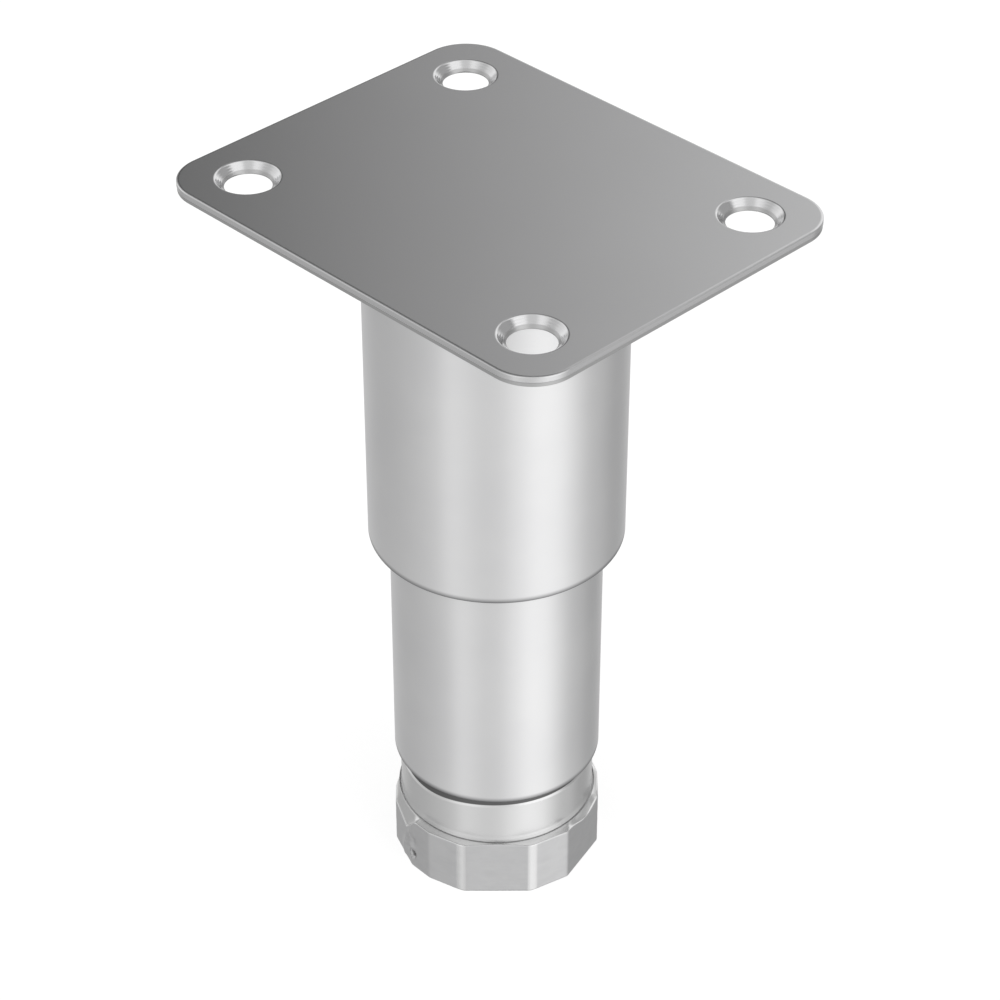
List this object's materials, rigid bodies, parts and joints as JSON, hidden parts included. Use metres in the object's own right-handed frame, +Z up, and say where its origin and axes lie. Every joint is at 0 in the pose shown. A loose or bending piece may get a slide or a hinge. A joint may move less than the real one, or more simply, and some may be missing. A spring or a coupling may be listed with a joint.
{
  "type": "adjustable cabinet leg",
  "caption": "Tubular leg with a screw plate on top and a wrench foot below, which is turned to slide the inner tube and set the height.",
  "frame": {"origin": "on the floor under the middle of the leg", "axes": "+Z up along the leg, +X along the long side of the mounting plate, +Y along its short side"},
  "size_m": [0.098, 0.08, 0.1544],
  "materials": {
    "plate_steel": "satin, ground along the long side",
    "tube_steel": "satin, polished round the tube",
    "cast_foot": "cast steel, tumbled bright",
    "weld": "rippled weld bead",
    "plain_steel": "zinc plated",
    "white_plastic": "moulded, slightly waxy",
    "black_plastic": "moulded, fine grain",
    "seal_rubber": "matt",
    "spring_steel": "phosphated"
  },
  "bodies": {
    "fixed_top": {"mounting_plate": "plate_steel", "upper_tube": "tube_steel", "tube_weld": "weld", "coupling_nut": "plain_steel", "nut_weld": "weld", "guide_bush": "black_plastic"},
    "sliding_tube": {"lower_tube": "tube_steel", "guide_ring": "white_plastic", "bearing_plug": "black_plastic", "spindle_bush": "white_plastic"},
    "turning_foot": {"foot": "cast_foot", "spindle": "plain_steel", "foot_pin": "spring_steel", "neck_seal": "seal_rubber", "thrust_washer": "plain_steel", "clamp_washer": "plain_steel", "retaining_ring": "spring_steel"}
  },
  "joints": [
    {"name": "tube_slide", "type": "slide", "parent": "fixed_top", "child": "sliding_tube", "axis": [0, 0, -1], "range_m": [-0.014, 0.02]},
    {"name": "foot_turn", "type": "hinge", "parent": "sliding_tube", "child": "turning_foot", "pos_m": [0, 0, 0], "axis": [0, 0, -1], "range_deg": [-2520, 3600]}
  ],
  "couplings": [
    {"joint": "foot_turn", "follows": "tube_slide", "rad_per_m": 3141.6}
  ]
}
